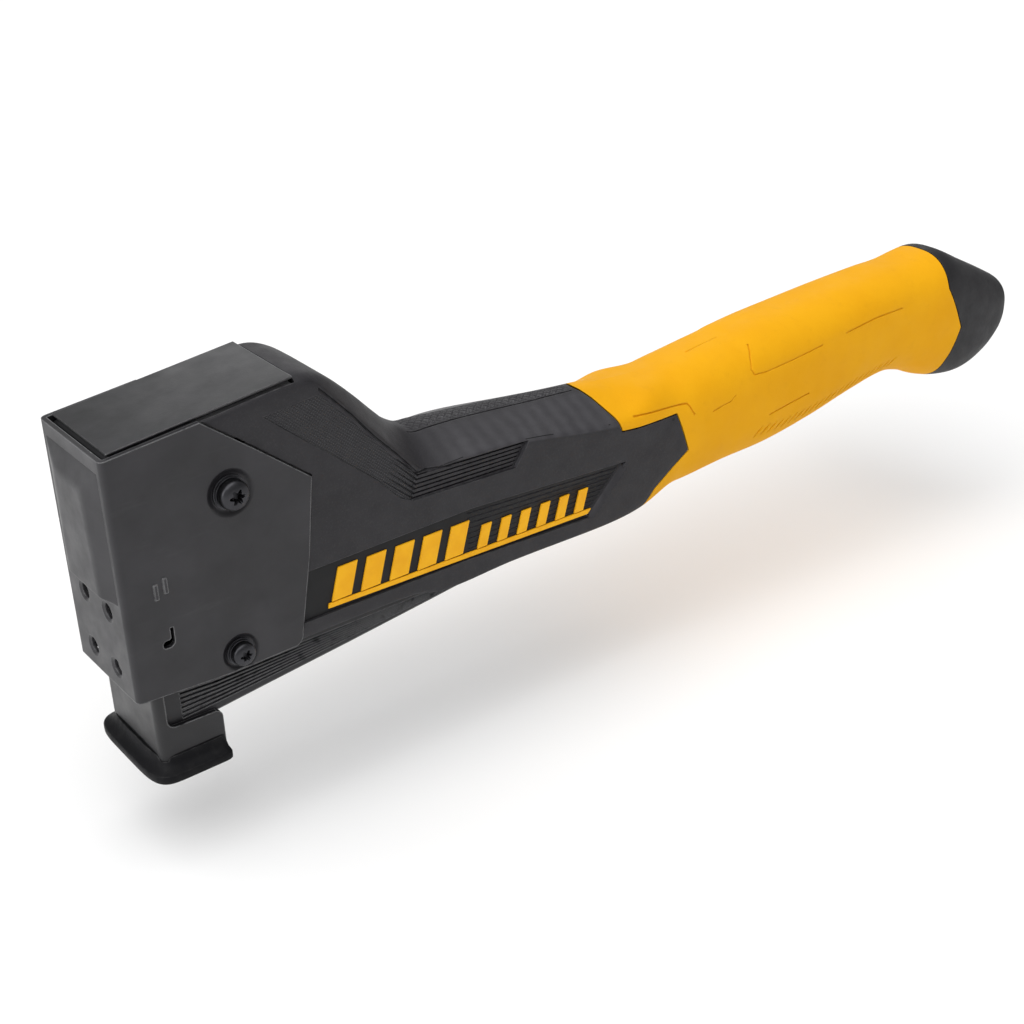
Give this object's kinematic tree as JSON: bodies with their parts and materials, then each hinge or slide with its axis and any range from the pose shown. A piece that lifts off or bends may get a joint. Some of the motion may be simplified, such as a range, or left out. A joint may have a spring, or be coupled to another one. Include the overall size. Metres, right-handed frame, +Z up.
{
  "type": "hammer tacker",
  "caption": "Hammer-type staple gun: steel-clad head, moulded neck, soft grip and a sprung magazine under the head that swings up to fire.",
  "frame": {"origin": "middle of the flat front land of the rubber foot's sole, in front of the staple exit", "axes": "+X from the nose back to the butt, along the tool; +Y across it; +Z up, from the sole to the strike block"},
  "size_m": [0.3529, 0.0416, 0.1012],
  "materials": {
    "moulding": "fine texture",
    "grip_rubber": "soft matte",
    "stripe": "satin",
    "black_steel": "satin black",
    "bright_steel": "zinc plated",
    "spring_steel": "oiled spring steel",
    "black_fastener": "black oxide",
    "black_rubber": "matte"
  },
  "bodies": {
    "tool": {"housing": "moulding", "grip_sleeve": "grip_rubber", "butt_cap": "moulding", "stripes_left": "stripe", "stripes_right": "stripe", "head_plate": "black_steel", "strike_block": "black_steel", "driver_block": "bright_steel", "driver_blade": "spring_steel", "blade_rivet_left": "bright_steel", "blade_rivet_right": "bright_steel", "cross_tube": "bright_steel", "upper_screw_left": "black_fastener", "upper_screw_right": "black_fastener", "upper_washer_left": "black_fastener", "upper_washer_right": "black_fastener", "lower_screw_left": "black_fastener", "lower_screw_right": "black_fastener", "lower_washer_left": "black_fastener", "lower_washer_right": "black_fastener", "pivot_pin": "bright_steel", "stop_pin": "bright_steel", "bump_pad": "black_rubber", "return_spring": "spring_steel"},
    "magazine": {"nose_frame": "black_steel", "nose_bumper": "black_rubber", "magazine_skirt": "black_steel", "pivot_sleeve": "bright_steel", "staple_channel": "bright_steel", "channel_rivet_front": "bright_steel", "channel_rivet_rear": "bright_steel", "spring_cup": "bright_steel", "rail_hinge_pin": "bright_steel"},
    "rail": {"staple_rail": "bright_steel", "guide_rod": "bright_steel", "rod_end": "bright_steel", "follower_spring": "spring_steel"},
    "follower": {"follower": "bright_steel"}
  },
  "joints": [
    {"name": "magazine_swing", "type": "hinge", "parent": "tool", "child": "magazine", "pos_m": [0.1446, 0, 0.026], "axis": [0, 1, 0], "range_deg": [0, 7.5], "stiffness_Nm_per_rad": 12, "springref_deg": -14.32, "deforming": ["return_spring"]},
    {"name": "rail_swing", "type": "hinge", "parent": "magazine", "child": "rail", "pos_m": [0.11284, 0, 0.0209], "axis": [0, -1, 0], "range_deg": [0, 25]},
    {"name": "follower_slide", "type": "slide", "parent": "rail", "child": "follower", "axis": [0.9962, 0, 0.0872], "range_m": [0, 0.06], "stiffness_N_per_m": 40, "springref_m": -0.1, "deforming": ["follower_spring"]}
  ]
}
